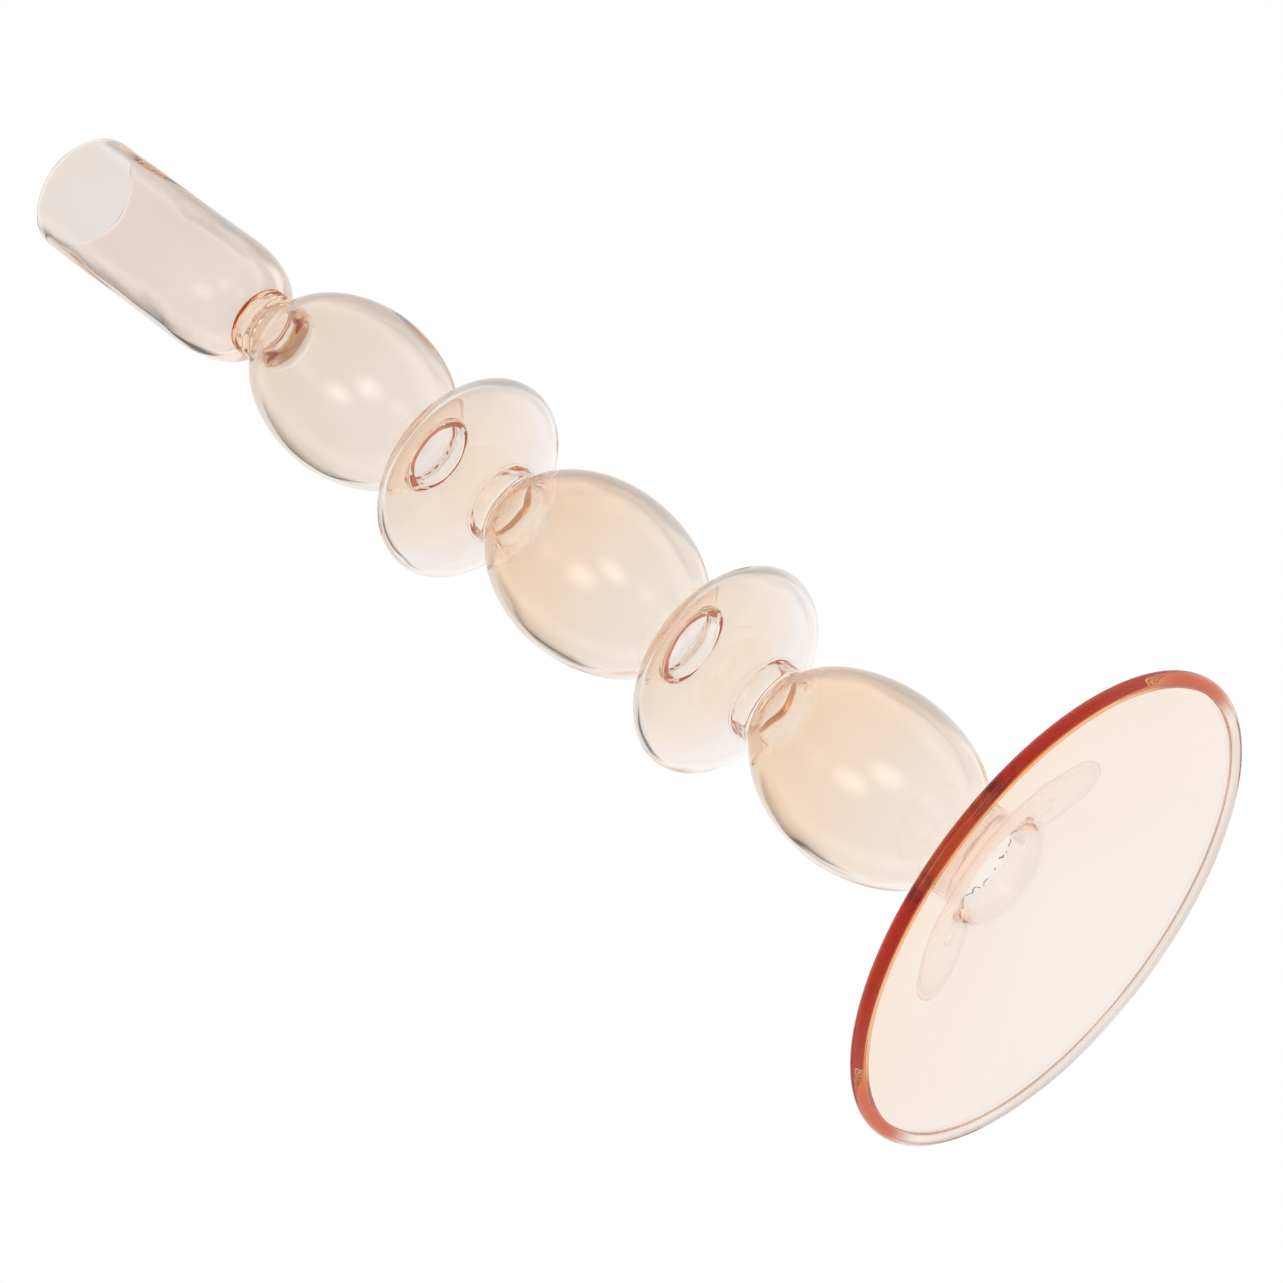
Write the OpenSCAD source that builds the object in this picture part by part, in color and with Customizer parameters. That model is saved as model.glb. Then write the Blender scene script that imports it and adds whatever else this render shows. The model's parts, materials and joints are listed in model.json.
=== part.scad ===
// Blown-glass candlestick: a candle cup on a stem of three bulbs and two discs,
// standing on a dished foot with a beaded rim. Every piece is a body of revolution
// about Z. The stem is hollow from the hole in the foot up to the cup's closed bottom.
// Pieces meet face to face at the seals, where hot glass was joined to hot glass.

/* [Cup] */
// Height of the mouth above the table
total_h = 260; // [252:1:268]
// Outer radius of the cup
cup_r = 12.3; // [12.1:0.1:13]
// Radius of the hole that takes the candle
candle_r = 11.15; // [10.6:0.05:11.2]
// Height at which the cup's straight wall ends
cup_shoulder_z = 218.8; // [218.4:0.1:221]
// Height of the cup's rounded bottom, outside
cup_bottom_h = 13.6; // [13:0.1:13.9]
// Thickness of the cup's bottom at its middle
cup_floor = 1.5; // [1.3:0.1:2.2]

/* [Stem] */
// Height of the lowest bulb's middle
first_bulb_z = 42.4; // [42:0.1:43]
// Distance from one bulb's middle to the next
bulb_pitch = 67.5; // [67:0.1:68]
// Height of a disc's middle above the bulb under it
disc_rise = 34.5; // [34:0.1:35]
// Largest outer radius of a bulb
bulb_r = 16.6; // [16:0.1:18]
// Half of a bulb's length, if it ran on to a point
bulb_half = 23.3; // [23:0.1:24]
// Largest outer radius of a disc
disc_r = 19.9; // [19:0.1:21]
// Half of a disc's height, if it ran on to a point
disc_half = 9.7; // [9.4:0.1:10]
// Outer radius of the necks between bulbs and discs
neck_r = 7.6; // [7.4:0.1:7.9]
// Bore radius of those necks, where the seals are thick
neck_bore_r = 6.3; // [6:0.1:6.5]
// Outer radius of the neck under the cup
top_neck_r = 6.9; // [6.5:0.1:7.2]
// Bore radius of that neck, right under the cup
top_bore_r = 5.4; // [5.1:0.1:5.6]
// Radius of the throat, where that neck's glass is thickest
throat_r = 4.2; // [3.8:0.1:4.6]

/* [Glass] */
// Wall of the bulbs and discs
wall = 1.15; // [1:0.05:1.3]
// Wall of the foot's plate
plate_wall = 1.6; // [1.4:0.1:1.8]

/* [Foot] */
// Outer radius of the foot
foot_r = 45; // [42:0.5:48]
// Radius of the rim's rounded bead
bead_r = 1.45; // [1.3:0.05:1.6]
// Width of the flat ring on which the foot stands
rest_w = 0.8; // [0.6:0.1:1]
// Height of the plate's underside at the middle
foot_rise = 12.2; // [11:0.1:12.6]
// How strongly the plate is dished, where 1 is a straight cone
foot_curve = 1.8; // [1.4:0.1:2.2]
// Radius at which the plate turns up into the neck
foot_turn_r = 9.6; // [9.4:0.1:10.2]
// Outer radius of the neck above the foot
foot_neck_r = 8.6; // [8.3:0.1:8.8]
// Bore radius of the neck above the foot
foot_bore_r = 7; // [6.8:0.1:7.2]

/* [Hidden] */
$fn = 96;

// The stem's forms, from the foot up: [middle, largest radius, half height]
lower_bulb_z = first_bulb_z;
middle_bulb_z = first_bulb_z + bulb_pitch;
upper_bulb_z = first_bulb_z + 2 * bulb_pitch;
lower_disc_z = lower_bulb_z + disc_rise;
upper_disc_z = middle_bulb_z + disc_rise;
forms = [
    [lower_bulb_z, bulb_r, bulb_half],
    [lower_disc_z, disc_r, disc_half],
    [middle_bulb_z, bulb_r, bulb_half],
    [upper_disc_z, disc_r, disc_half],
    [upper_bulb_z, bulb_r, bulb_half]
];
fillet = 2.2;          // how far the hollow between two forms is rounded
bore_fillet = 2.2;     // the same for the surface inside
steps = 36;            // points along one side of a bulb or a disc

// Where the pieces are cut apart. A form's own piece ends this far from its middle.
bulb_end = 20.2;
disc_end = 9.0;
foot_seal_z = 17.2;                     // top of the plate's own neck
foot_bore_z = 15.4;                     // where the bend of the plate's underside ends
foot_neck_z = 16.8;                     // and that of its upper side
cup_seal_z = cup_shoulder_z - cup_bottom_h - 0.7;
top_neck_z = upper_bulb_z + bulb_end;   // under this the stem is thin-walled
throat_below = 3.7;                     // height over which the bore narrows to the throat
throat_above = min(1.9, cup_seal_z - top_neck_z - throat_below - 0.3);    // and over which it widens again

// Radius of an ellipse of revolution at height z
function form_r(z, f, less) =
    let (a = f[2] - less, u = (z - f[0]) / a)
    abs(u) >= 1 ? 0 : (f[1] - less) * sqrt(1 - u * u);

// The larger of two radii, with the corner between them rounded over k
function blend(a, b, k) = max(a, b) + pow(max(k - abs(a - b), 0), 2) / (4 * k);

// Largest form radius at height z, inside (less = wall) or outside (less = 0)
function widest(z, less) = max([for (f = forms) form_r(z, f, less)]);

// One of three radii: of the neck over the foot, of a neck in the stem, or of the neck under the cup
function neck_at(z, foot, between, top) =
    z < lower_bulb_z ? foot : z < upper_bulb_z ? between : top;

// Outer radius of the stem: the forms, and the necks between them
function stem_r(z) =
    blend(widest(z, 0), neck_at(z, foot_neck_r, neck_r, top_neck_r), fillet);

// Inner radius of the stem
function stem_bore(z) =
    blend(widest(z, wall), neck_at(z, foot_bore_r, neck_bore_r, neck_bore_r), bore_fillet);

// Heights from z0 to z1, closer together near both ends
function heights(z0, z1, n) = [for (i = [0:n]) (z0 + z1) / 2 - (z1 - z0) / 2 * cos(180 * i / n)];

function backwards(list) = [for (i = [len(list) - 1:-1:0]) list[i]];

// A ring of the stem between two heights, turned about Z
module stem_piece(z0, z1, n) {
    zs = heights(z0, z1, n);
    rotate_extrude()
        polygon(concat(
            [for (z = zs) [stem_r(z), z]],
            [for (z = backwards(zs)) [stem_bore(z), z]]
        ));
}

module bulb(z) color([0.95, 0.83, 0.70, 0.5]) stem_piece(z - bulb_end, z + bulb_end, steps);
module disc(z) color([0.93, 0.87, 0.84, 0.5]) stem_piece(z - disc_end, z + disc_end, steps);
module seal(z0, z1) color([0.90, 0.65, 0.42, 0.6]) stem_piece(z0, z1, 10);

// Cup: straight wall, fire-polished lip and a rounded closed bottom, a little thicker at its corner
module candle_cup() {
    lip = (cup_r - candle_r) / 2;
    shoulder = cup_r - top_neck_r + 0.4;
    inner_bottom_z = cup_shoulder_z + 1.2;
    inner_flat_r = top_neck_r - 2.1;           // the floor is flat within this
    inner_h = inner_bottom_z - cup_seal_z - cup_floor;
    color([0.91, 0.85, 0.79, 0.5])
    rotate_extrude()
        polygon(concat(
            [[0, cup_seal_z], [stem_r(cup_seal_z), cup_seal_z]],
            [for (t = [90:-7.5:0])
                [cup_r - shoulder * (1 - cos(t)), cup_shoulder_z - cup_bottom_h * sin(t)]],
            [for (t = [0:15:180])
                [candle_r + lip + lip * cos(t), total_h - lip + lip * sin(t)]],
            [for (t = [0:6:90])
                [inner_flat_r + (candle_r - inner_flat_r) * cos(t), inner_bottom_z - inner_h * sin(t)]],
            [[0, inner_bottom_z - inner_h]]
        ));
}

// Thick neck under the cup: its bore narrows to a throat and widens again
module cup_seal() {
    throat_z = top_neck_z + throat_below;
    wide_bore_r = stem_bore(top_neck_z);
    color([0.75, 0.35, 0.15, 0.7])
    rotate_extrude()
        polygon(concat(
            [for (z = heights(top_neck_z, cup_seal_z, 10)) [stem_r(z), z]],
            [[top_bore_r, cup_seal_z]],
            [for (t = [180:-15:0])
                [throat_r + (top_bore_r - throat_r) * (1 - cos(t)) / 2, throat_z + throat_above * t / 180]],
            [for (t = [15:15:180])
                [throat_r + (wide_bore_r - throat_r) * (1 - cos(t)) / 2, throat_z - throat_below * t / 180]]
        ));
}

// How much of the way from the plate's edge to its turn radius r lies
function inward(r) =
    let (edge = foot_r - 2 * bead_r + 0.5)
    max((edge - r) / (edge - foot_turn_r), 0);

// Height and slope of the plate's underside at radius r: flat near the rim, steeper near the neck
function under_z(r) =
    bead_r - plate_wall / 2 + (foot_rise - bead_r + plate_wall / 2) * pow(inward(r), foot_curve);
function under_slope(r) = (under_z(r - 0.1) - under_z(r)) / 0.1;

// Points of a smooth bend that leaves [r, z] = from with the given slope and ends upright at to
function bend(from, to, slope, n) =
    let (corner = [to[0], from[1] + (from[0] - to[0]) * slope])
    [for (i = [0:n]) let (t = i / n) (1 - t) * (1 - t) * from + 2 * t * (1 - t) * corner + t * t * to];

// Dished plate that turns up into the neck above it
module foot_plate() {
    edge = foot_r - 2 * bead_r + 0.5;
    radii = [for (i = [0:20]) edge + (foot_turn_r - edge) * i / 20];
    lift = plate_wall * 1.06;                  // the plate's thickness, measured upright
    top_r = foot_turn_r + 2.2;                 // where the upper side begins to turn
    turn_slope = under_slope(top_r);
    color([0.95, 0.89, 0.86, 0.5])
    rotate_extrude()
        polygon(concat(
            [for (r = radii) if (r > foot_turn_r + 0.01) [r, under_z(r)]],
            bend([foot_turn_r, foot_rise], [foot_bore_r, foot_bore_z], under_slope(foot_turn_r + 0.1), 10),
            [[foot_bore_r, foot_seal_z], [foot_neck_r, foot_seal_z]],
            backwards(bend([top_r, under_z(top_r) + lift], [foot_neck_r, foot_neck_z], turn_slope, 10)),
            [for (r = backwards(radii)) if (r > top_r + 0.2) [r, under_z(r) + lift]]
        ));
}

// Bead round the plate's edge, with a narrow flat where it stands
module foot_rim() {
    edge = foot_r - 2 * bead_r + 0.5;
    middle = foot_r - bead_r;
    flat_t = asin(rest_w / 2 / bead_r);
    settle = bead_r * (1 - cos(flat_t));       // how much of the bead the flat takes off
    color([0.72, 0.22, 0.08, 0.8])
    rotate_extrude()
        difference() {
            translate([middle, bead_r - settle]) circle(r = bead_r);
            translate([middle - foot_r, -foot_r]) square([2 * foot_r, foot_r]);
            translate([edge - foot_r, -foot_r]) square([foot_r, 2 * foot_r]);
        }
}

candle_cup();
cup_seal();
bulb(upper_bulb_z);  // upper_bulb
seal(upper_disc_z + disc_end, upper_bulb_z - bulb_end);  // upper_bulb_seal
disc(upper_disc_z);  // upper_disc
seal(middle_bulb_z + bulb_end, upper_disc_z - disc_end);  // upper_disc_seal
bulb(middle_bulb_z);  // middle_bulb
seal(lower_disc_z + disc_end, middle_bulb_z - bulb_end);  // middle_bulb_seal
disc(lower_disc_z);  // lower_disc
seal(lower_bulb_z + bulb_end, lower_disc_z - disc_end);  // lower_disc_seal
bulb(lower_bulb_z);  // lower_bulb
seal(foot_seal_z, lower_bulb_z - bulb_end);  // foot_seal
foot_plate();
foot_rim();
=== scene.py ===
# %% [markdown]
# # A lampworked glass candlestick
#
# The real candlestick is one long bubble of pale amber glass. A glassworker draws a tube,
# blows a bulb, pinches a neck, blows a disc, and seals the sections to each other in the
# flame. The cup goes on top and a dished foot with a rolled rim goes underneath.
# All of it is a body of revolution about Z, so every piece here is a thin outline spun
# about that axis. Each outline has two sides, the outer skin and the inner skin, because
# glass only looks like glass when light crosses a wall of real thickness.

# %% Load the frame
import json
import math

import bmesh
import bpy
from mathutils import Matrix, Vector, noise


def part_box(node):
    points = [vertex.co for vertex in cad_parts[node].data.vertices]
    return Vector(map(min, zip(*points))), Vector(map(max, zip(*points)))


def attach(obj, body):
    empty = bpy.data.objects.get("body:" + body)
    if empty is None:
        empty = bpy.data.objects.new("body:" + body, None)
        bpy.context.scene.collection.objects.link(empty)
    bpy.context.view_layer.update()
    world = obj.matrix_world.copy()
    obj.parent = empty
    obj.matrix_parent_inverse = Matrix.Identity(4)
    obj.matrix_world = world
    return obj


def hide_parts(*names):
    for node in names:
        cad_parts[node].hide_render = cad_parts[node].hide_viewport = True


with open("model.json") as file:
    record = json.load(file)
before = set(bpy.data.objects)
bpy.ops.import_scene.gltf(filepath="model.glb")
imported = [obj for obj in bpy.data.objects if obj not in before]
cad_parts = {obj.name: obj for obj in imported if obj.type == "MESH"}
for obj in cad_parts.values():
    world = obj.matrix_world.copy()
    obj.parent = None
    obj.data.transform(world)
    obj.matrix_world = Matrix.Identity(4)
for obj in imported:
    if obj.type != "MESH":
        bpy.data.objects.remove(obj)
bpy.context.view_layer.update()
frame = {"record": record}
scene = bpy.context.scene
MM = 0.001

# %% [markdown]
# ## Camera
#
# The camera looks up at the candlestick from under its foot, and it is rolled, so that the
# stem lies across the picture from corner to corner. A long lens keeps the bulbs nearly
# equal in size. The view is written as three directions, forward, right and up, which
# become the columns of the camera's matrix. That is easier to follow than three angles.

# %% Camera
VIEW_TILT = math.radians(32.07)
VIEW_ROLL = math.radians(53.06)
VIEW_LENS = 102.75
AIM_HEIGHT = 0.125
AIM_RIGHT, AIM_UP, AIM_AWAY = -0.01805, 0.01958, 0.6515


def look_up_camera():
    forward = Vector((0, math.cos(VIEW_TILT), math.sin(VIEW_TILT)))
    level_up = Vector((0, -math.sin(VIEW_TILT), math.cos(VIEW_TILT)))
    level_right = Vector((1, 0, 0))
    right = math.cos(VIEW_ROLL) * level_right - math.sin(VIEW_ROLL) * level_up
    up = math.sin(VIEW_ROLL) * level_right + math.cos(VIEW_ROLL) * level_up
    offset = AIM_RIGHT * right + AIM_UP * up + AIM_AWAY * forward
    place = Vector((0, 0, AIM_HEIGHT)) - offset
    data = bpy.data.cameras.new("camera")
    data.lens = VIEW_LENS
    data.sensor_width = 36
    data.clip_start = 0.01
    data.clip_end = 100
    camera = bpy.data.objects.new("camera", data)
    turn = Matrix((right, up, -forward)).transposed().to_4x4()
    camera.matrix_world = Matrix.Translation(place) @ turn
    scene.collection.objects.link(camera)
    scene.camera = camera
    return camera


camera = look_up_camera()
print("camera at", [round(v, 3) for v in camera.matrix_world.translation])

# %% [markdown]
# ## Glass
#
# This amber is weak. A wall of one millimetre is almost clear, and only the rim, where the
# light comes along centimetres of glass, is red-brown. Two things make the colour here. A
# Volume Absorption node takes out blue and green along the way through the glass, and the
# skin has a faint tint of its own, as glass has that was fumed in the flame. Part of the
# skin's tint is painted light and shade, though: the near and far halves of the foot and of
# its bead, the bead's darker ends, and the brown ring in the throat under the cup.
#
# Each effect below is a node group with named inputs, so that every material can use it
# with its own values. Three small helpers shorten the wiring: a number is set on a socket,
# and another node's output is linked to it.

# %% Helpers for node trees
def feed(tree, socket, value):
    """Links an output to the socket, or sets a plain value on it."""
    if isinstance(value, bpy.types.NodeSocket):
        tree.links.new(value, socket)
    else:
        socket.default_value = value


def reckon(tree, operation, *values, clamp=False):
    """One step of arithmetic on outputs or plain numbers."""
    node = tree.nodes.new("ShaderNodeMath")
    node.operation = operation
    node.use_clamp = clamp
    for socket, value in zip(node.inputs, values):
        feed(tree, socket, value)
    return node.outputs["Value"]


def remap(tree, value, low, high, start=0.0, end=1.0, smooth=True):
    """Turns low to high into start to end, held at both ends."""
    node = tree.nodes.new("ShaderNodeMapRange")
    node.interpolation_type = "SMOOTHSTEP" if smooth else "LINEAR"
    wiring = {"Value": value, "From Min": low, "From Max": high, "To Min": start, "To Max": end}
    for title, given in wiring.items():
        feed(tree, node.inputs[title], given)
    return node.outputs["Result"]


def vector_step(tree, operation, first, second, output):
    node = tree.nodes.new("ShaderNodeVectorMath")
    node.operation = operation
    feed(tree, node.inputs[0], first)
    feed(tree, node.inputs[1], second)
    return node.outputs[output]


def place_in(tree):
    """The point's own coordinates on its piece, in metres, as one vector and as x, y, z."""
    place = tree.nodes.new("ShaderNodeTexCoord").outputs["Object"]
    split = tree.nodes.new("ShaderNodeSeparateXYZ")
    tree.links.new(place, split.inputs["Vector"])
    return place, split.outputs


def cloudy(tree, place, scale, detail=2.0):
    node = tree.nodes.new("ShaderNodeTexNoise")
    node.inputs["Detail"].default_value = detail
    feed(tree, node.inputs["Vector"], place)
    feed(tree, node.inputs["Scale"], scale)
    return node.outputs["Fac"]


def stored(tree, name):
    """A value that the mesh keeps on its points or faces."""
    node = tree.nodes.new("ShaderNodeAttribute")
    node.attribute_name = name
    return node.outputs["Fac"]


def mixed(tree, mask, first, second):
    """The first colour where mask is 0, the second where it is 1."""
    node = tree.nodes.new("ShaderNodeMix")
    node.data_type = "RGBA"
    for title, value in {"Factor": mask, "A": first, "B": second}.items():
        feed(tree, node.inputs[title], value)
    return node.outputs["Result"]


def group_with(name, inputs, output, kind):
    """A new node group with the given sockets. Returns it with its inputs and its output."""
    group = bpy.data.node_groups.new(name, "ShaderNodeTree")
    for title, socket in inputs.items():
        group.interface.new_socket(title, in_out="INPUT", socket_type="NodeSocket" + socket)
    group.interface.new_socket(output, in_out="OUTPUT", socket_type="NodeSocket" + kind)
    inside = group.nodes.new("NodeGroupInput")
    outside = group.nodes.new("NodeGroupOutput")
    return group, inside.outputs, outside.inputs[output]


def placed(tree, group, **values):
    """The group, placed in a material with its own values. Returns its output."""
    node = tree.nodes.new("ShaderNodeGroup")
    node.node_tree = group
    for title, value in values.items():
        feed(tree, node.inputs[title.replace("_", " ")], value)
    return node.outputs[0]


print("helpers ready")

# %% [markdown]
# ## Waves in the skin
#
# Hot glass stiffens while it is still being pulled, so its skin keeps long, shallow waves
# that run along the stem. The group squeezes the coordinates along Z before it makes the
# noise, which draws the waves out. They are far too low to model, so they go to a bump.

# %% Waves in the skin of hand-worked glass
def flame_waves():
    inputs = {"Ripple Size": "Float", "Draw": "Float"}
    group, inside, result = group_with("flame_waves", inputs, "Height", "Float")
    place, _ = place_in(group)
    stretch = group.nodes.new("ShaderNodeCombineXYZ")
    stretch.inputs["X"].default_value = 1.0
    stretch.inputs["Y"].default_value = 1.0
    group.links.new(inside["Draw"], stretch.inputs["Z"])
    drawn = vector_step(group, "MULTIPLY", place, stretch.outputs["Vector"], "Vector")
    group.links.new(cloudy(group, drawn, inside["Ripple Size"], detail=1.5), result)
    return group


waves = flame_waves()
print("group:", waves.name)

# %% [markdown]
# ## Tint of the skin
#
# The skin's tint changes from one end of a piece to the other, and unevenly. The group fades
# from a start colour to an end colour along a direction, and moves the fade back and forth a
# little with slow noise. On the foot and its bead the fade runs from the near half to the far
# half, and there it is painted light and shade.

# %% Tint of the skin, fading from one end of a piece to the other
CLOUD_SCALE = 45.0


def fading_tint():
    inputs = {
        "Start Color": "Color", "End Color": "Color", "Direction": "Vector",
        "Start": "Float", "End": "Float", "Clouds": "Float",
    }
    group, inside, result = group_with("fading_tint", inputs, "Color", "Color")
    place, _ = place_in(group)
    along = vector_step(group, "DOT_PRODUCT", place, inside["Direction"], "Value")
    fade = remap(group, along, inside["Start"], inside["End"])
    cloud = reckon(group, "SUBTRACT", cloudy(group, place, CLOUD_SCALE), 0.5)
    share = reckon(group, "MULTIPLY_ADD", cloud, inside["Clouds"], fade, clamp=True)
    group.links.new(mixed(group, share, inside["Start Color"], inside["End Color"]), result)
    return group


tints = fading_tint()
print("group:", tints.name)

# %% [markdown]
# ## Torch marks and a painted shade ring on the inner skin
#
# Two effects sit on the inner skin only, near one height. Round the hole in the foot the
# torch left a thin, broken, wavy dark line in the seal. Under the cup the tube was gathered
# in to a throat, and there the thick glass looks dark brown; here that brown is painted on
# the inner skin as a ring, painted shade for the dark that light picks up on its long way
# through the thick glass. The spin helper further down writes the attribute "inner" on
# every point, 1 on the inner skin and 0 on the outer one.

# %% Marks of the torch on a join
MARK_WAVE = 0.003                   # how far the line wanders up, in metres
MARK_GAPS = (0.48, 0.54)            # noise below the first value breaks the line


def torch_marks():
    inputs = {"Height": "Float", "Width": "Float"}
    group, inside, result = group_with("torch_marks", inputs, "Marks", "Float")
    place, at = place_in(group)
    line_z = reckon(group, "MULTIPLY_ADD", cloudy(group, place, 420.0), MARK_WAVE, inside["Height"])
    distance = reckon(group, "ABSOLUTE", reckon(group, "SUBTRACT", at["Z"], line_z))
    line = reckon(group, "LESS_THAN", distance, inside["Width"])
    broken = remap(group, cloudy(group, place, 800.0), *MARK_GAPS, smooth=False)
    marked = reckon(group, "MULTIPLY", broken, line)
    group.links.new(reckon(group, "MULTIPLY", marked, stored(group, "inner")), result)
    return group


marks = torch_marks()
print("group:", marks.name)


# %% Ring of painted shade, where the glass is thick
def dark_ring():
    inputs = {"Height": "Float", "Reach": "Float"}
    group, inside, result = group_with("dark_ring", inputs, "Ring", "Float")
    _, at = place_in(group)
    distance = reckon(group, "ABSOLUTE", reckon(group, "SUBTRACT", at["Z"], inside["Height"]))
    band = remap(group, distance, 0.0, inside["Reach"], start=1.0, end=0.0)
    group.links.new(reckon(group, "MULTIPLY", band, stored(group, "inner")), result)
    return group


rings = dark_ring()
print("group:", rings.name)

# %% [markdown]
# ## The glass of each piece
#
# All the pieces are the same kind of glass, and each gets a material with its own tint.
# In the real object the sections are fused, so the seals can't be seen. Here the pieces
# are separate closed walls with a hair's breadth between them, and two mirroring faces in
# each seal would look like a silver ring. So the faces of the seals are transparent: the
# attribute "seam" is 1 on them, and Alpha is one minus that. Light then passes from one
# piece to the next as it does through one piece of glass.
#
# The bead of the rim is the darkest part. On the near side the light runs round inside it
# for a long way, and the bead's near half is painted red-brown for it, as painted shade,
# while the far half is left nearly clear. At its two ends the light takes a shorter way, so
# the ends are painted a darker red still, also as painted shade.

# %% The glass itself
AMBER_PER_METRE = (7.0, 32.0, 57.0)      # how fast red, green and blue die out in the glass
GLASS_IOR = 1.47
UPWARD, ACROSS = (0, 0, 1), (0, 1, 0)
RIPPLE_SIZE, RIPPLE_DRAW, RIPPLE_HEIGHT = 120.0, 0.5, 0.00004
# The brown is painted shade: the ring in the throat under the cup.
# The last, dark red colour is painted shade for the bead's two ends.
SOOT, THROAT_PAINTED_SHADE, BEAD_END_PAINTED_SHADE = (0.10, 0.06, 0.05), (0.48, 0.21, 0.06), (0.62, 0.09, 0.01)
MARK_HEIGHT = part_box("foot_plate")[1].z - 0.0015
MARK_WIDTH = 0.00013
RING_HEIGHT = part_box("cup_seal")[0].z + 0.0028
RING_REACH = 0.0026
RIM_ENDS = (0.036, 0.0415)               # the bead darkens between these distances from YZ


def skin_colour(tree, node, start, end, direction, span):
    """The tint of the node's skin, with any torch marks and painted shade (the bead's ends, the throat's ring)
    that this node has.
    """
    low, high = [corner.dot(Vector(direction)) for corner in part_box(node)]
    first = (*start, 1)
    # Painted shade: towards its two ends the bead's tint turns to a darker red.
    if node == "foot_rim":
        aside = reckon(tree, "ABSOLUTE", place_in(tree)[1]["X"])
        first = mixed(tree, remap(tree, aside, *RIM_ENDS), first, (*BEAD_END_PAINTED_SHADE, 1))
    colour = placed(
        tree, tints, Start_Color=first, End_Color=(*end, 1), Direction=direction, Clouds=0.5,
        Start=low + (high - low) * span[0], End=low + (high - low) * span[1],
    )
    if node in ("foot_plate", "foot_seal"):
        mark = placed(tree, marks, Height=MARK_HEIGHT, Width=MARK_WIDTH)
        colour = mixed(tree, mark, colour, (*SOOT, 1))
    # Painted shade: a brown ring on the inner skin for the dark of light's long way through the thick glass.
    if node == "cup_seal":
        ring = placed(tree, rings, Height=RING_HEIGHT, Reach=RING_REACH)
        colour = mixed(tree, ring, colour, (*THROAT_PAINTED_SHADE, 1))
    return colour


def amber_glass(name, node, start, end, strength=1.0, direction=UPWARD, span=(0, 1)):
    """Glass for one node. Its skin's tint goes from start to end along direction, over span of its box."""
    material = bpy.data.materials.new(name)
    material.use_nodes = True
    tree = material.node_tree
    shader = tree.nodes["Principled BSDF"]
    shader.inputs["Roughness"].default_value = 0.0
    shader.inputs["IOR"].default_value = GLASS_IOR
    shader.inputs["Transmission Weight"].default_value = 1.0
    colour = skin_colour(tree, node, start, end, direction, span)
    tree.links.new(colour, shader.inputs["Base Color"])
    tree.links.new(reckon(tree, "SUBTRACT", 1.0, stored(tree, "seam")), shader.inputs["Alpha"])
    bump = tree.nodes.new("ShaderNodeBump")
    bump.inputs["Strength"].default_value = 1.0
    bump.inputs["Distance"].default_value = RIPPLE_HEIGHT
    wave = placed(tree, waves, Ripple_Size=RIPPLE_SIZE, Draw=RIPPLE_DRAW)
    tree.links.new(wave, bump.inputs["Height"])
    tree.links.new(bump.outputs["Normal"], shader.inputs["Normal"])
    depth = tree.nodes.new("ShaderNodeVolumeAbsorption")
    most = max(AMBER_PER_METRE)
    depth.inputs["Color"].default_value = (*[1 - a / most for a in AMBER_PER_METRE], 1)
    depth.inputs["Density"].default_value = most * strength
    tree.links.new(depth.outputs["Volume"], tree.nodes["Material Output"].inputs["Volume"])
    return material


PEACH, STRAW, SHELL = (1.0, 0.885, 0.775), (1.0, 0.935, 0.875), (0.99, 0.965, 0.95)
CREAM, LILAC, GOLD = (1.0, 0.955, 0.90), (0.985, 0.972, 0.98), (1.0, 0.87, 0.74)
CUP_FOOT, CUP_LIP = (1.0, 0.965, 0.95), (1.0, 0.95, 0.92)
# Painted light: the foot's near half is tinted peach and its far half lilac, for the warmer and cooler light
# that the two halves show.
FOOT_NEAR_PAINTED_LIGHT, FOOT_FAR_PAINTED_LIGHT = (0.99, 0.87, 0.78), (0.965, 0.925, 0.92)
# Painted shade: the bead's near half is red-brown and its far half clear, for light that runs round inside it on
# the near side.
RIM_NEAR_PAINTED_SHADE, RIM_FAR = (0.86, 0.28, 0.06), (1.0, 0.98, 0.97)
SEALS = ["foot_seal", "lower_disc_seal", "middle_bulb_seal", "upper_disc_seal", "upper_bulb_seal"]
TINTS = {
    "candle_cup": ("cup_glass", CUP_FOOT, CUP_LIP, {}),
    "cup_seal": ("thick_glass", STRAW, CREAM, {}),
    "upper_bulb": ("upper_bulb_glass", SHELL, STRAW, {}),
    "upper_disc": ("upper_disc_glass", LILAC, GOLD, {"strength": 0.6, "span": (0.5, 0.9)}),
    "middle_bulb": ("middle_bulb_glass", SHELL, PEACH, {}),
    "lower_disc": ("lower_disc_glass", LILAC, GOLD, {"strength": 0.6, "span": (0.5, 0.9)}),
    "lower_bulb": ("lower_bulb_glass", SHELL, PEACH, {}),
    "foot_plate": ("foot_glass", FOOT_NEAR_PAINTED_LIGHT, FOOT_FAR_PAINTED_LIGHT, {"direction": ACROSS}),
    "foot_rim": ("rim_glass", RIM_NEAR_PAINTED_SHADE, RIM_FAR, {"direction": ACROSS, "span": (0.48, 0.61)}),
}
for seal in SEALS:
    TINTS[seal] = (seal + "_glass", CREAM, CREAM, {"strength": 0.5})
GLASSES = {node: amber_glass(name, node, start, end, **more) for node, (name, start, end, more) in TINTS.items()}
print("materials:", len(GLASSES))

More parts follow.
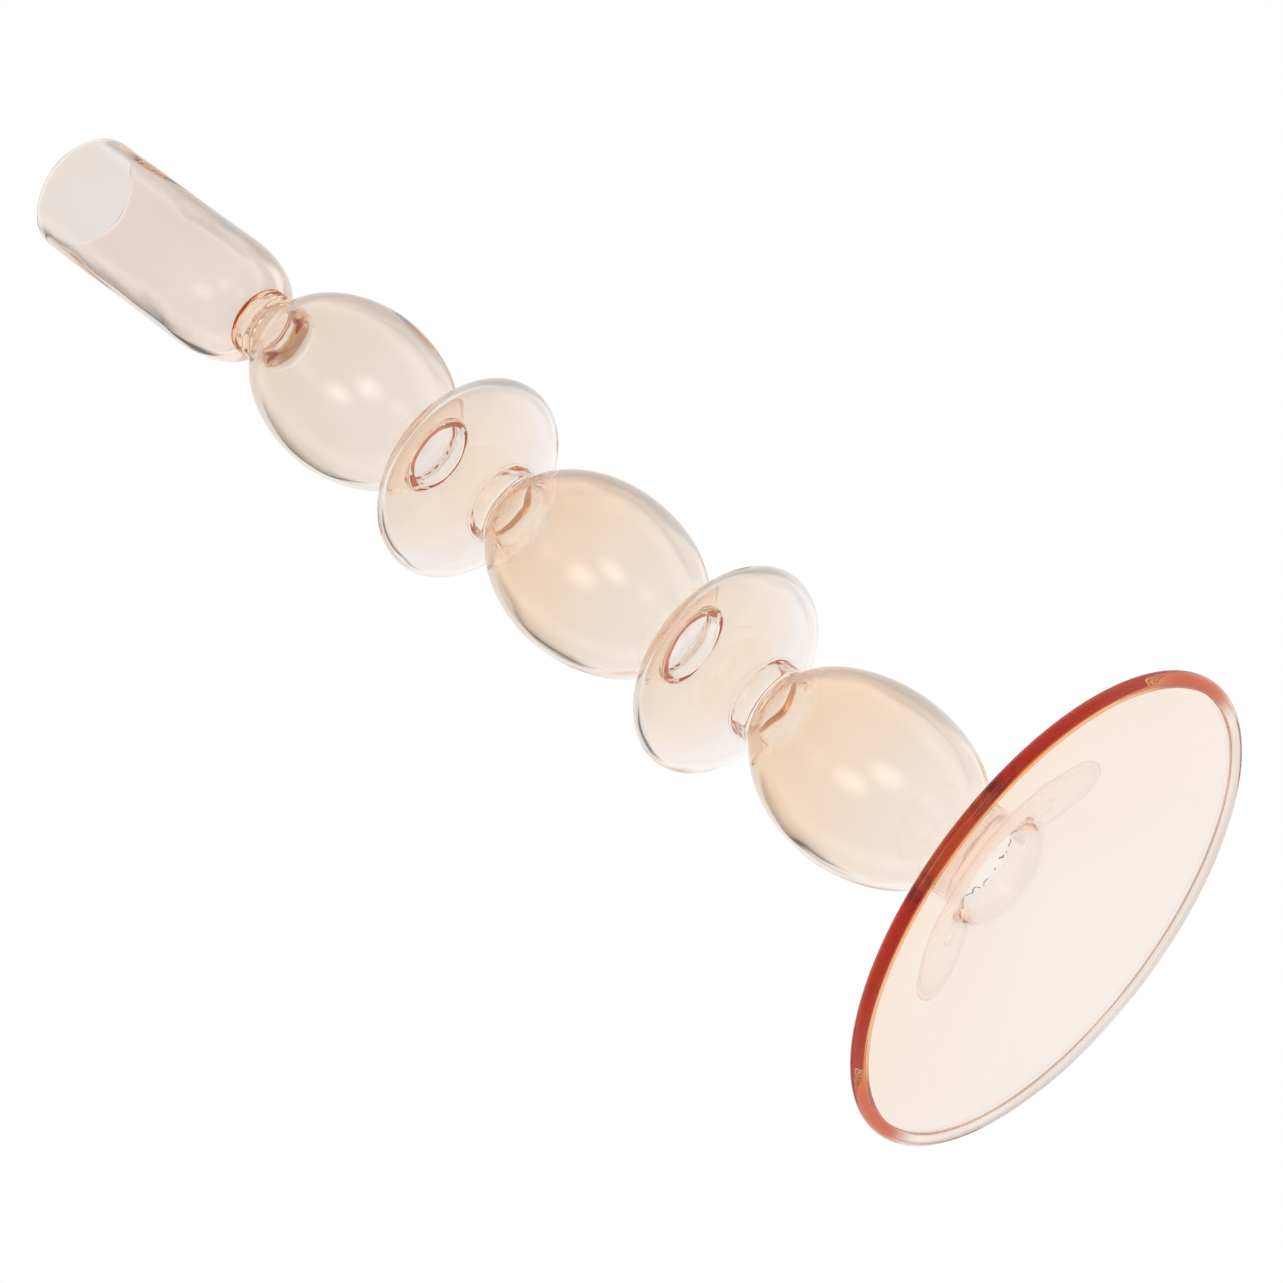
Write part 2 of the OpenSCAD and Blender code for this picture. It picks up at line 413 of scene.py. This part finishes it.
# %% [markdown]
# ## Spinning an outline
#
# A bubble of glass has an outline with two skins. The outline is a loop of vertices in
# the XZ plane, and the spin operator carries it once round Z. Hand-worked glass is never
# quite round, so afterwards each vertex is pushed in or out a little by slow noise. The
# inner skin has its own noise, which is what makes the wall thicker in one place than in
# another, and that is what bends the light at the edges. Small lumps near the seals and a
# slight lean of the stem complete the hand work.
#
# The helper also stores two attributes for the materials: "inner" on the points of the
# inner skin, and "seam" on the faces that touch the next piece.

# %% Spin helper
SLOTS = {part["node"]: part["material_slot"] for part in frame["record"]["subparts"]}
SEAM = 0.006                        # each piece stops this short of a seal, in millimetres
TURNS = 144
OUTER_WOBBLE, INNER_WOBBLE = 0.10, 0.22
OUTER_LUMPS, INNER_LUMPS = 0.05, 0.14
OUTER_SEED, INNER_SEED = 3.0, 17.0
FOOT_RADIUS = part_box("foot_rim")[1].x / MM
SEAL_HEIGHTS = sorted({round(corner.z / MM, 2) for node in SLOTS if "seal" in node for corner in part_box(node)})
STEM_REACH = 12                     # seals beyond this radius, at the rim, have no lumps
LUMP_HEIGHT = 1.1                   # how far a seal's lumps reach up and down, in millimetres
SHARP_EDGE = math.radians(35)


def hand_push(radius, turn, height, seed):
    """How far slow noise moves a point of the skin, in millimetres. It dies out at the rim."""
    where = Vector((math.cos(turn) * 1.3, math.sin(turn) * 1.3, height * 0.045 + seed))
    fine = Vector((math.cos(turn) * 3.1, math.sin(turn) * 3.1, height * 0.13 - seed))
    share = max(min(radius / 6.0, (FOOT_RADIUS - 3 - radius) / 12.0, 1.0), 0.0)
    return share * (noise.noise(where) + 0.35 * noise.noise(fine))


def seal_lumps(radius, turn, height):
    """Small lumps that the flame leaves where two sections were joined, in millimetres."""
    if radius > STEM_REACH:
        return 0.0
    near = sum(math.exp(-((height - z) / LUMP_HEIGHT) ** 2) for z in SEAL_HEIGHTS)
    where = Vector((math.cos(turn) * radius * 0.75, math.sin(turn) * radius * 0.75, height * 0.9))
    return near * noise.noise(where)


def axis_sway(height):
    """How far the stem leans sideways at a height, in millimetres: hand work isn't dead straight."""
    low_lean = -0.45 * math.exp(-((height - 44) / 17) ** 2)
    return low_lean + 0.32 * math.exp(-((height - 190) / 22) ** 2)


def shape_by_hand(shape, is_inner, lumps):
    """Pushes every point in or out a little, and leans it sideways with the stem."""
    for vert in shape.verts:
        radius, height = math.hypot(vert.co.x, vert.co.y), vert.co.z / MM
        if radius > 1e-6:
            turn = math.atan2(vert.co.y, vert.co.x)
            inside = vert[is_inner] > 0.5
            amount = INNER_WOBBLE if inside else OUTER_WOBBLE
            if lumps:
                amount *= lumps(height)
            seed = INNER_SEED if inside else OUTER_SEED
            push = amount * hand_push(radius / MM, turn, height, seed) * MM
            push += (INNER_LUMPS if inside else OUTER_LUMPS) * seal_lumps(radius / MM, turn, height) * MM
            vert.co.x *= (radius + push) / radius
            vert.co.y *= (radius + push) / radius
        vert.co.x += axis_sway(height) * MM


def spun(node, outer, inner, seam, closed=True, lumps=None):
    """A closed wall from two lists of (radius, height) in millimetres, both from the foot up.

    seam says of a radius and a height whether the point lies on a join with the next piece.
    lumps, where it is given, says how much stronger the hand work is at a height.
    """
    shape = bmesh.new()
    skin = [(0.0, p) for p in outer] + [(1.0, p) for p in reversed(inner)]
    is_inner = shape.verts.layers.float.new("inner")
    on_seam = shape.verts.layers.float.new("on_seam")
    verts = []
    for side, (radius, height) in skin:
        vert = shape.verts.new((radius * MM, 0, height * MM))
        vert[is_inner] = side
        vert[on_seam] = 1.0 if seam(radius, height) else 0.0
        verts.append(vert)
    pairs = list(zip(verts, verts[1:]))
    if closed:
        pairs.append((verts[-1], verts[0]))
    edges = [shape.edges.new(pair) for pair in pairs]
    bmesh.ops.spin(
        shape, geom=verts + edges, axis=(0, 0, 1), cent=(0, 0, 0),
        angle=math.tau, steps=TURNS, use_merge=True, use_duplicate=False,
    )
    bmesh.ops.remove_doubles(shape, verts=shape.verts, dist=1e-7)
    bmesh.ops.recalc_face_normals(shape, faces=shape.faces)
    shape_by_hand(shape, is_inner, lumps)
    is_join = shape.faces.layers.float.new("seam")
    for face in shape.faces:
        face.smooth = True
        face[is_join] = 1.0 if all(vert[on_seam] > 0.5 for vert in face.verts) else 0.0
    for edge in shape.edges:
        if len(edge.link_faces) == 2 and edge.calc_face_angle(0) > SHARP_EDGE:
            edge.smooth = False
    mesh = bpy.data.meshes.new("glass_" + node)
    shape.to_mesh(mesh)
    shape.free()
    piece = bpy.data.objects.new("glass_" + node, mesh)
    scene.collection.objects.link(piece)
    mesh.materials.append(GLASSES[node])
    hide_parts(node)
    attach(piece, "root")
    print(piece.name, len(mesh.polygons), "faces")
    return piece


# %% [markdown]
# ## The stem's outline
#
# A bulb is a long ellipse turned about Z and a disc is a flat one. Between them the glass
# was pinched to a neck. One function gives the skin's radius at any height: the larger of
# the nearest ellipse and the neck, with the corner between them rounded over.

# %% Stem outline
BULB_HALF = 23.3
DISC_HALF = 9.7
WALL = 1.15
NECK, NECK_BORE = 7.6, 6.3
FOOT_NECK, FOOT_BORE = 8.6, 7.0
TOP_NECK = 6.9
FILLET, BORE_FILLET = 2.2, 2.2
BULBS = ["lower_bulb", "middle_bulb", "upper_bulb"]
DISCS = ["lower_disc", "upper_disc"]


def form_of(node, half):
    """A bulb or disc as its middle height, its radius and half the height of its ellipse."""
    low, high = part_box(node)
    return ((low.z + high.z) / 2 / MM, max(high.x, high.y) / MM, half)


forms = [form_of(n, BULB_HALF) for n in BULBS] + [form_of(n, DISC_HALF) for n in DISCS]
lowest_middle = min(f[0] for f in forms)
highest_middle = max(f[0] for f in forms)


def widest(height, less):
    """Radius of the bulb or disc at this height, taken less millimetres inside its skin."""
    best = 0.0
    for middle, radius, half in forms:
        share = (height - middle) / (half - less)
        if abs(share) < 1:
            best = max(best, (radius - less) * math.sqrt(1 - share * share))
    return best


def rounded_max(a, b, over):
    """The larger of the two, rounded over where they differ by less than over."""
    return max(a, b) + max(over - abs(a - b), 0) ** 2 / (4 * over)


def neck_at(height, foot, between, top):
    if height < lowest_middle:
        return foot
    return between if height < highest_middle else top


def outer_skin(height):
    neck = neck_at(height, FOOT_NECK, NECK, TOP_NECK)
    return rounded_max(widest(height, 0.0), neck, FILLET)


def inner_skin(height):
    neck = neck_at(height, FOOT_BORE, NECK_BORE, NECK_BORE)
    return rounded_max(widest(height, WALL), neck, BORE_FILLET)


def heights(low, high, count):
    """Heights from low to high, closer together near both ends."""
    middle, half = (low + high) / 2, (high - low) / 2
    return [middle - half * math.cos(math.pi * i / count) for i in range(count + 1)]


print("forms:", [[round(v, 1) for v in f] for f in forms])

# %% [markdown]
# ## Bulbs, discs and seals
#
# The sections were separate pieces of tube before the flame joined them, so each is its
# own closed wall here. A hair's breadth of space is left at each seal, since two glass
# faces in exactly the same place would confuse the light. Each section reads its height
# from the frame and its two skins from the functions above, so neighbours always meet.

# %% Bulbs, discs and seals
def section(node, count):
    """One length of the stem, with its two skins cut at the seals."""
    low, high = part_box(node)
    foot, top = low.z / MM + SEAM, high.z / MM - SEAM
    zs = heights(foot, top, count)
    skins = [(outer_skin(z), z) for z in zs], [(inner_skin(z), z) for z in zs]
    spun(node, *skins, seam=lambda radius, z: z in (zs[0], zs[-1]))


for node in BULBS:
    section(node, 72)
for node in DISCS:
    section(node, 64)
for node in SEALS:
    section(node, 16)
print("sections:", len(BULBS + DISCS + SEALS))

# %% [markdown]
# ## Cup
#
# The cup is a straight tube with a round bottom. Its lip was held in the flame until the
# cut edge drew itself round. The bottom is thin in the middle and a little thicker at its
# corner, where the tube was gathered in, and the corner shows as a darker amber.

# %% Cup
CUP_WALL = 1.15
BOTTOM_HEIGHT = 13.6
NECK_MOUTH = 5.4
SHOULDER_LIFT, SHOULDER_TUCK = 0.7, 0.4     # where the round bottom springs from the neck
FLOOR_WALL, FLOOR_FLAT, INNER_LIFT = 1.5, 2.1, 1.2
LIP_STEPS = 10


def arc(count):
    """Angles from 0 to a quarter turn."""
    return [math.pi / 2 * i / count for i in range(count + 1)]


def even(low, high, count):
    """The values between low and high, without the two ends."""
    return [low + (high - low) * i / count for i in range(1, count)]


def candle_cup():
    low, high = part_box("candle_cup")
    foot, top = low.z / MM + SEAM, high.z / MM
    radius = max(high.x, high.y) / MM
    lip = CUP_WALL / 2
    bore = radius - CUP_WALL
    shoulder = foot + SHOULDER_LIFT + BOTTOM_HEIGHT
    spread = radius - TOP_NECK + SHOULDER_TUCK
    outer = [(0.0, foot), (NECK_MOUTH, foot), (TOP_NECK, foot)]
    for a in reversed(arc(24)[:-1]):
        outer.append((radius - spread * (1 - math.cos(a)), shoulder - BOTTOM_HEIGHT * math.sin(a)))
    outer += [(radius, z) for z in even(shoulder, top - lip, 24)]
    for a in arc(LIP_STEPS):
        outer.append((radius - lip + lip * math.cos(a), top - lip + lip * math.sin(a)))
    inner_bottom, floor, flat = shoulder + INNER_LIFT, foot + FLOOR_WALL, TOP_NECK - FLOOR_FLAT
    inner = [(0.0, floor), (flat * 0.5, floor)]
    for a in reversed(arc(28)):
        inner.append((flat + (bore - flat) * math.cos(a), inner_bottom - (inner_bottom - floor) * math.sin(a)))
    inner += [(bore, z) for z in even(inner_bottom, top - lip, 24)]
    for a in arc(LIP_STEPS)[:-1]:
        inner.append((bore + lip - lip * math.cos(a), top - lip + lip * math.sin(a)))

    def on_neck(radius, z):
        return z == foot and radius >= NECK_MOUTH

    spun("candle_cup", outer, inner, seam=on_neck, closed=False)


candle_cup()

# %% [markdown]
# ## Thick neck under the cup
#
# Here the tube was gathered in until its wall was thick, to carry the weight of the
# candle. The bore narrows to a throat and opens again upwards. Its inner skin carries the
# dark ring that shows through the top of the upper bulb, a brown painted shade for the dark
# of light's long way through the thick glass. The lumps are strongest half way up, where
# the glass was hottest.

# %% Thick neck under the cup
THROAT = 4.2
THROAT_BELOW, THROAT_ABOVE = 3.7, 1.9
HOT_MIDDLE = 2.4                    # how much lumpier the neck is half way up


def cup_seal():
    low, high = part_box("cup_seal")
    foot, top = low.z / MM + SEAM, high.z / MM - SEAM
    wide, throat_z = inner_skin(foot), foot + THROAT_BELOW
    zs = heights(foot, top, 20)
    outer = [(outer_skin(z), z) for z in zs]
    inner = []
    for a in reversed(arc(16)[1:]):
        share = (1 - math.cos(2 * a)) / 2
        inner.append((THROAT + (wide - THROAT) * share, throat_z - THROAT_BELOW * 2 * a / math.pi))
    for a in arc(12):
        share = (1 - math.cos(2 * a)) / 2
        inner.append((THROAT + (NECK_MOUTH - THROAT) * share, throat_z + THROAT_ABOVE * 2 * a / math.pi))
    inner[0] = (inner[0][0], foot)
    inner += [(NECK_MOUTH, z) for z in even(throat_z + THROAT_ABOVE, top, 3)] + [(NECK_MOUTH, top)]

    def lumps(z):
        return 1 + HOT_MIDDLE * math.sin(math.pi * min(max((z - foot) / (top - foot), 0), 1))

    spun("cup_seal", outer, inner, seam=lambda radius, z: z in (foot, top), lumps=lumps)


cup_seal()

# %% [markdown]
# ## Plate of the foot
#
# The plate was opened out in the flame: it falls from the stem in a smooth curve and runs
# on almost straight to the edge. A power of the distance from the edge gives that curve,
# and a bend with three control points turns it up into the neck.

# %% Plate
PLATE_WALL = 1.6
PLATE_LIFT = PLATE_WALL * 1.06      # the plate's thickness, measured upright
BEAD, BEAD_BITE = 1.45, 0.5         # the bead's radius, and how far the plate runs into it
FOOT_RISE = 12.2
FOOT_TURN = 9.6
PLATE_CURVE = 1.8                   # 1 would be a straight cone
PLATE_EDGE = FOOT_RADIUS - 2 * BEAD + BEAD_BITE
BORE_BEND_TOP, NECK_BEND_TOP, NECK_BEND_REACH = 15.4, 16.8, 2.2
HOLE_CREASE = 0.5                   # a soft crease is left where the bend into the hole begins


def under_z(radius):
    """Height of the plate's underside: flat near the rim, steeper near the neck."""
    share = max((PLATE_EDGE - radius) / (PLATE_EDGE - FOOT_TURN), 0.0)
    return BEAD - PLATE_WALL / 2 + (FOOT_RISE - BEAD + PLATE_WALL / 2) * share ** PLATE_CURVE


def under_slope(radius):
    """How steeply the underside rises towards the axis."""
    return (under_z(radius - 0.1) - under_z(radius)) / 0.1


def bend(start, end, slope, count):
    """A smooth bend that leaves start with the given slope and ends upright at end."""
    corner = (end[0], start[1] + (start[0] - end[0]) * slope)
    points = []
    for i in range(count + 1):
        t = i / count
        weights = (1 - t) ** 2, 2 * t * (1 - t), t ** 2
        points.append(tuple(sum(w * p[k] for w, p in zip(weights, (start, corner, end))) for k in (0, 1)))
    return points


def foot_plate():
    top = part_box("foot_plate")[1].z / MM - SEAM
    edge = PLATE_EDGE - SEAM
    radii = [edge] + list(reversed(even(FOOT_TURN, PLATE_EDGE, 50)))
    inner = [(r, under_z(r)) for r in radii]
    crease = HOLE_CREASE * under_slope(FOOT_TURN + 0.1)
    inner += bend((FOOT_TURN, FOOT_RISE), (FOOT_BORE, BORE_BEND_TOP), crease, 24)
    inner += [(FOOT_BORE, z) for z in even(BORE_BEND_TOP, top, 6)] + [(FOOT_BORE, top)]
    top_r = FOOT_TURN + NECK_BEND_REACH
    start = (top_r, under_z(top_r) + PLATE_LIFT)
    outer = [(r, under_z(r) + PLATE_LIFT) for r in radii if r > top_r + 0.2]
    outer += bend(start, (FOOT_NECK, NECK_BEND_TOP), under_slope(top_r), 24) + [(FOOT_NECK, top)]
    spun("foot_plate", outer, inner, seam=lambda radius, z: z == top or radius == edge)


foot_plate()

# %% [markdown]
# ## Bead of the rim
#
# The plate's edge was rolled over into a round bead, and the candlestick stands on it. Its
# lowest line was settled on a hot plate, which leaves a narrow flat. Light that enters the
# bead runs round inside it for a long way before it leaves, which is why the bead is so
# much darker than the plate. Here that dark is partly painted shade: its material paints
# the near half red-brown and the two ends darker still, and leaves the far half clear.

# %% Bead
STANDING_FLAT = 0.8


def foot_rim():
    face, middle = PLATE_EDGE + SEAM, PLATE_EDGE - BEAD_BITE + BEAD
    centre_z = math.sqrt(BEAD ** 2 - (STANDING_FLAT / 2) ** 2)
    cut = math.acos((face - middle) / BEAD)
    count = 44
    outline = []
    for i in range(count + 1):
        a = -cut + 2 * cut * i / count
        outline.append((middle + BEAD * math.cos(a), max(centre_z + BEAD * math.sin(a), 0)))
    join = [(face, under_z(face) + PLATE_LIFT), (face, under_z(face))]
    spun("foot_rim", outline + join, [], seam=lambda radius, z: (radius, z) in join)


foot_rim()

# %% [markdown]
# ## Floor
#
# A plain pale floor, one flat sheet. It shows only to a camera above it. From underneath
# the camera looks through it, because this camera looks up at the foot, and every ray
# other than the camera's own goes through it as well.

# %% Floor
FLOOR_HALF = 3.0


def pale_floor():
    shape = bmesh.new()
    bmesh.ops.create_grid(shape, x_segments=2, y_segments=2, size=FLOOR_HALF)
    mesh = bpy.data.meshes.new("floor")
    shape.to_mesh(mesh)
    shape.free()
    floor = bpy.data.objects.new("floor", mesh)
    scene.collection.objects.link(floor)
    material = bpy.data.materials.new("pale_floor")
    material.use_nodes = True
    tree = material.node_tree
    shader = tree.nodes["Principled BSDF"]
    shader.inputs["Base Color"].default_value = (0.93, 0.93, 0.93, 1)
    shader.inputs["Roughness"].default_value = 0.7
    clear = tree.nodes.new("ShaderNodeBsdfTransparent")
    side = tree.nodes.new("ShaderNodeNewGeometry")
    ray = tree.nodes.new("ShaderNodeLightPath")
    shown = reckon(tree, "SUBTRACT", ray.outputs["Is Camera Ray"], side.outputs["Backfacing"], clamp=True)
    mix = tree.nodes.new("ShaderNodeMixShader")
    tree.links.new(shown, mix.inputs["Fac"])
    tree.links.new(clear.outputs["BSDF"], mix.inputs[1])
    tree.links.new(shader.outputs["BSDF"], mix.inputs[2])
    tree.links.new(mix.outputs["Shader"], tree.nodes["Material Output"].inputs["Surface"])
    mesh.materials.append(material)
    return floor


print("stage:", pale_floor().name)

# %% [markdown]
# ## Light
#
# Clear glass has hardly any look of its own: it shows what stands round it, bent. So it is
# best shown in a white room, with darker screens out of sight, which draw the thin grey
# outlines. The world here is such a room. It is white behind and greyer in front, so that
# less light is mirrored towards the camera. The screens are grey bands, one set from side
# to side and one from bottom to top, and they stand only behind and aloft. Three round
# soft lamps in front give the highlights on the bulbs. The camera itself sees plain white.

# %% Light
SIDE_SHADES = (
    (-1.0, 0.62), (-0.74, 0.55), (-0.64, 0.15), (-0.54, 0.15), (-0.48, 0.95),
    (0.14, 0.98), (0.18, 0.86), (0.35, 0.76), (0.62, 0.58), (1.0, 0.70),
)
HEIGHT_SHADES = ((-1.0, 1.0), (0.40, 1.0), (0.46, 0.97), (0.56, 0.94), (0.66, 0.86), (1.0, 0.75))
FRONT_SHADE = 0.6
BEHIND, ALOFT, FRONT = (0.1, 0.4), (0.2, 0.4), (-0.25, 0.15)
SOFT_LAMPS = (
    (Vector((-0.25, -0.96, 0.11)), 1.7),
    (Vector((0.27, -0.94, -0.19)), 1.2),
    (Vector((0.33, -0.60, -0.73)), 0.8),
)
LAMP_REACH = math.radians(22)
LAMP_SOFTNESS = 3.0
GLASS_BOUNCES, SEAM_BOUNCES = 160, 128


def shade_ramp(tree, value, shades):
    """A ramp over -1 to 1 with a grey at each of the given places."""
    ramp = tree.nodes.new("ShaderNodeValToRGB")
    tree.links.new(remap(tree, value, -1, 1, smooth=False), ramp.inputs["Fac"])
    stops = ramp.color_ramp.elements
    for at, shade in shades[1:-1]:
        stops.new(0.5 + at / 2).color = (shade, shade, shade, 1)
    for stop, (_, shade) in ((stops[0], shades[0]), (stops[-1], shades[-1])):
        stop.color = (shade, shade, shade, 1)
    return ramp.outputs["Color"]


def soft_lamp(tree, direction, centre, strength):
    """A round soft glow in the surroundings, brightest at centre."""
    near = vector_step(tree, "DOT_PRODUCT", direction, centre.normalized(), "Value")
    patch = remap(tree, near, math.cos(LAMP_REACH), 1.0, smooth=False)
    return reckon(tree, "MULTIPLY", reckon(tree, "POWER", patch, LAMP_SOFTNESS), strength)


def room_light(tree, direction):
    """How bright the room is in each direction."""
    split = tree.nodes.new("ShaderNodeSeparateXYZ")
    tree.links.new(direction, split.inputs["Vector"])
    x, y, z = (split.outputs[axis] for axis in "XYZ")
    shades = reckon(tree, "MULTIPLY", shade_ramp(tree, x, SIDE_SHADES), shade_ramp(tree, z, HEIGHT_SHADES))
    where = reckon(tree, "MULTIPLY", remap(tree, y, *BEHIND), remap(tree, z, *ALOFT))
    wall = tree.nodes.new("ShaderNodeMix")
    tree.links.new(remap(tree, y, *FRONT, start=FRONT_SHADE, end=1.0), wall.inputs["A"])
    tree.links.new(where, wall.inputs["Factor"])
    tree.links.new(shades, wall.inputs["B"])
    total = wall.outputs["Result"]
    for centre, strength in SOFT_LAMPS:
        total = reckon(tree, "ADD", total, soft_lamp(tree, direction, centre, strength))
    return total


def studio():
    world = bpy.data.worlds.new("studio")
    scene.world = world
    world.use_nodes = True
    tree = world.node_tree
    tree.nodes.clear()
    seen, lit = [tree.nodes.new("ShaderNodeBackground") for _ in range(2)]
    for background in (seen, lit):
        background.inputs["Color"].default_value = (1, 1, 1, 1)
    direction = tree.nodes.new("ShaderNodeTexCoord").outputs["Generated"]
    tree.links.new(room_light(tree, direction), lit.inputs["Strength"])
    ray = tree.nodes.new("ShaderNodeLightPath")
    mix = tree.nodes.new("ShaderNodeMixShader")
    tree.links.new(ray.outputs["Is Camera Ray"], mix.inputs["Fac"])
    tree.links.new(lit.outputs["Background"], mix.inputs[1])
    tree.links.new(seen.outputs["Background"], mix.inputs[2])
    out = tree.nodes.new("ShaderNodeOutputWorld")
    tree.links.new(mix.outputs["Shader"], out.inputs["Surface"])
    return world


print("world:", studio().name)
scene.view_settings.view_transform = "Standard"
scene.cycles.max_bounces = GLASS_BOUNCES
scene.cycles.transmission_bounces = GLASS_BOUNCES
scene.cycles.glossy_bounces = GLASS_BOUNCES
scene.cycles.transparent_max_bounces = SEAM_BOUNCES
